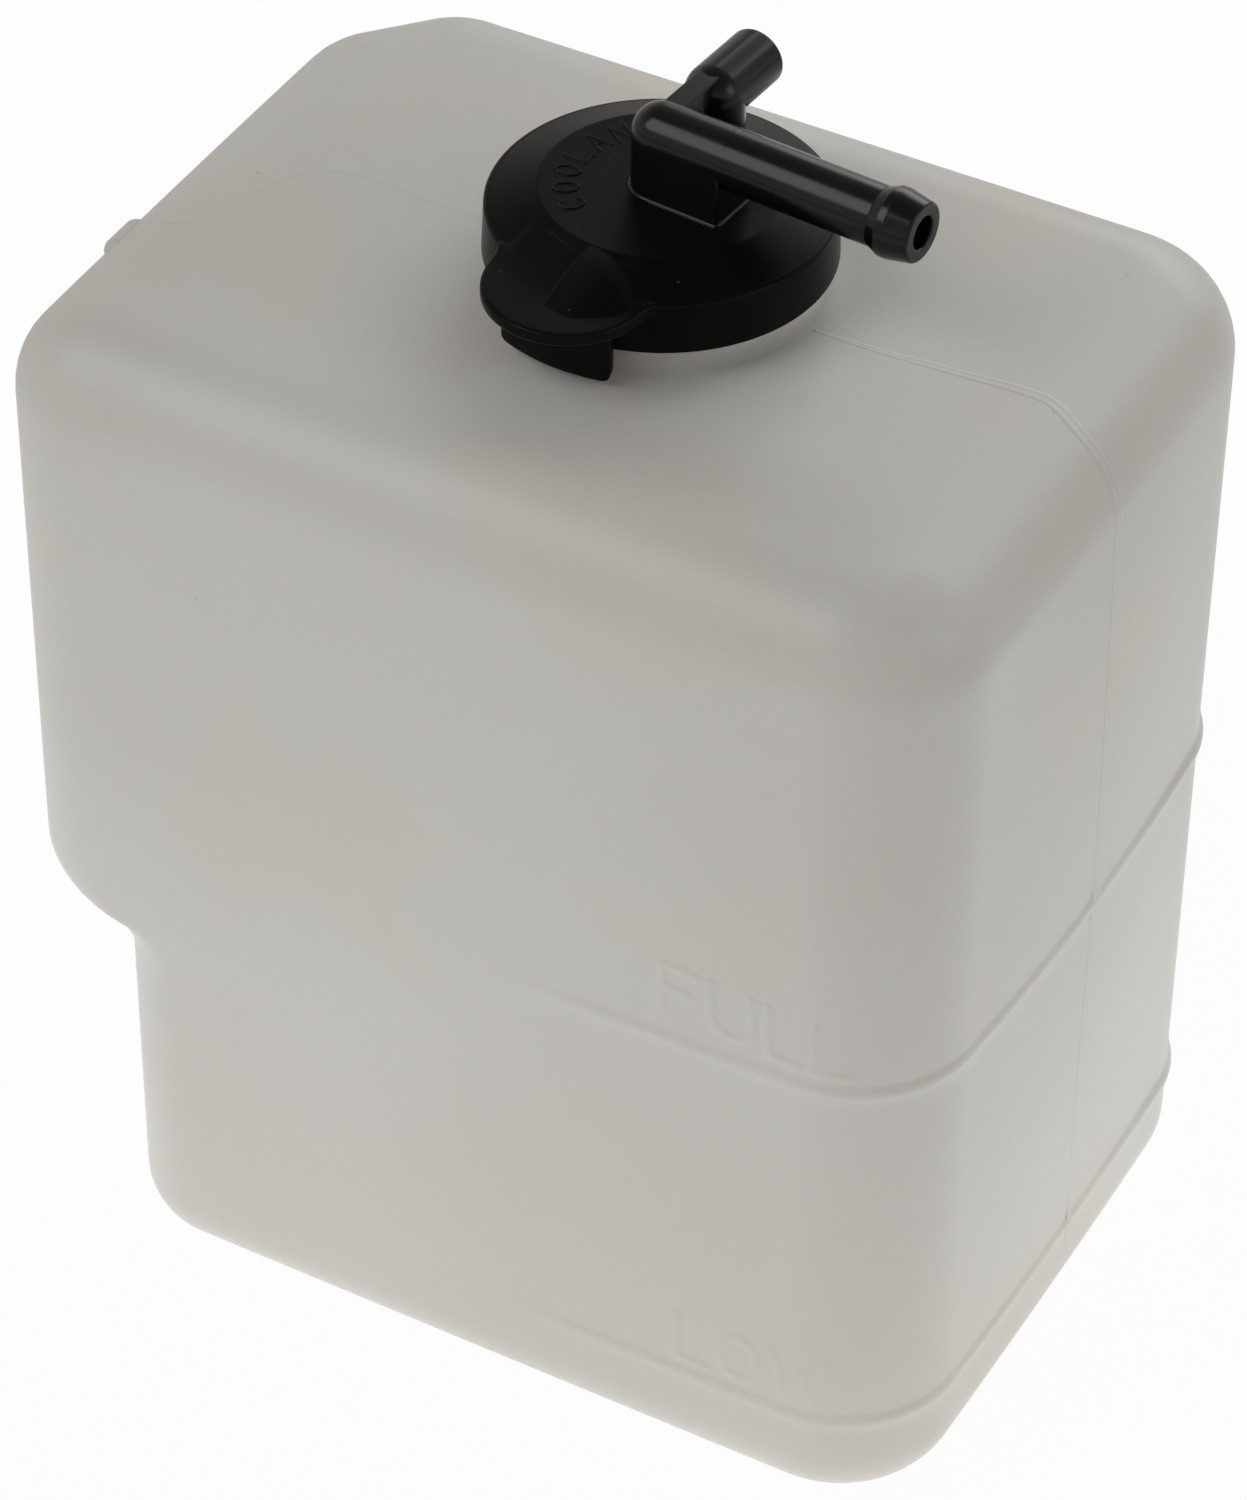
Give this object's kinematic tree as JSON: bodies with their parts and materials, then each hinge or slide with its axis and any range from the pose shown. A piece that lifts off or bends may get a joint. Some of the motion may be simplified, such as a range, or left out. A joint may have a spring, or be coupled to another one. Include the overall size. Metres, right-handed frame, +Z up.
{
  "type": "coolant expansion tank",
  "caption": "Blow-moulded coolant expansion tank with a stepped end, level marks and a snap cap that carries hose nipples, a finger tab and a dip tube.",
  "frame": {"origin": "middle of the tank's flat base, under the middle of its top outline", "axes": "+Z up, -Y the front wall with the words of the level marks, +X the end without the step, where the long nipple points"},
  "size_m": [0.1451, 0.1053, 0.1904],
  "materials": {
    "tank_plastic": "translucent natural polyethylene, milky white, satin, lightly soiled",
    "cap_plastic": "black polypropylene, fine matte grain, smoother on the nipples",
    "tube_plastic": "black soft plastic tube, satin"
  },
  "bodies": {
    "tank": {"tank": "tank_plastic"},
    "cap": {"cap": "cap_plastic", "dip_tube": "tube_plastic"}
  },
  "joints": [
    {"name": "cap_lift", "type": "slide", "parent": "tank", "child": "cap", "axis": [0, 0, 1], "range_m": [0, 0.17]}
  ]
}
